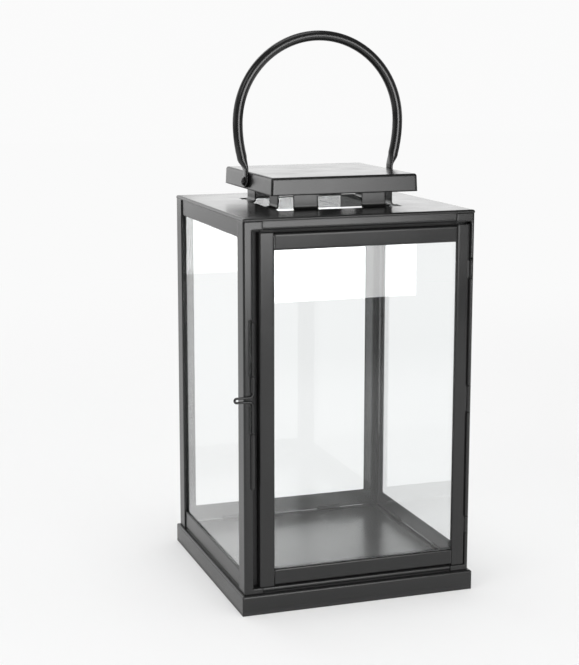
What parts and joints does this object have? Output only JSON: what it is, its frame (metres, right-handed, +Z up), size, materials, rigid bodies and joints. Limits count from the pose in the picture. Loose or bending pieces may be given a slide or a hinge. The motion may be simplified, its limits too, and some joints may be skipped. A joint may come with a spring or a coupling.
{
  "type": "candle lantern",
  "caption": "Square candle lantern of folded black sheet steel with glass panes, a hinged glazed door, a turning wire latch, a raised vented cap and a swinging hoop handle.",
  "frame": {"origin": "middle of the base's underside, where the lantern stands", "axes": "+Z up through the cap and the handle, -Y out of the door side, +X to the right seen from the door side, towards the door's hinge"},
  "size_m": [0.217, 0.2106, 0.4835],
  "materials": {
    "coated_steel": "satin black powder coat",
    "glass": "clear float glass"
  },
  "bodies": {
    "frame": {"base_tray": "coated_steel", "post_front_left": "coated_steel", "post_front_right": "coated_steel", "post_back_left": "coated_steel", "post_back_right": "coated_steel", "rail_front_top": "coated_steel", "rail_front_bottom": "coated_steel", "rail_left_top": "coated_steel", "rail_left_bottom": "coated_steel", "rail_back_top": "coated_steel", "rail_back_bottom": "coated_steel", "rail_right_top": "coated_steel", "rail_right_bottom": "coated_steel", "glass_left": "glass", "glass_back": "glass", "glass_right": "glass", "roof": "coated_steel", "cap": "coated_steel", "handle_rivets": "coated_steel", "hinge_pin": "coated_steel"},
    "door": {"door_stile_left": "coated_steel", "door_stile_right": "coated_steel", "door_rail_top": "coated_steel", "door_rail_bottom": "coated_steel", "door_glass": "glass", "door_glass_clips": "coated_steel"},
    "latch": {"latch_wire": "coated_steel"},
    "handle": {"handle": "coated_steel"}
  },
  "joints": [
    {"name": "door_hinge", "type": "hinge", "parent": "frame", "child": "door", "pos_m": [0.0997, -0.1031, 0.1715], "axis": [0, 0, 1], "range_deg": [0, 180]},
    {"name": "latch_turn", "type": "hinge", "parent": "frame", "child": "latch", "pos_m": [-0.0953, -0.1039, 0.185], "axis": [0, 0, 1], "range_deg": [0, 180]},
    {"name": "handle_swing", "type": "hinge", "parent": "frame", "child": "handle", "pos_m": [0, 0, 0.3545], "axis": [1, 0, 0], "range_deg": [-98.5, 98.5]}
  ]
}
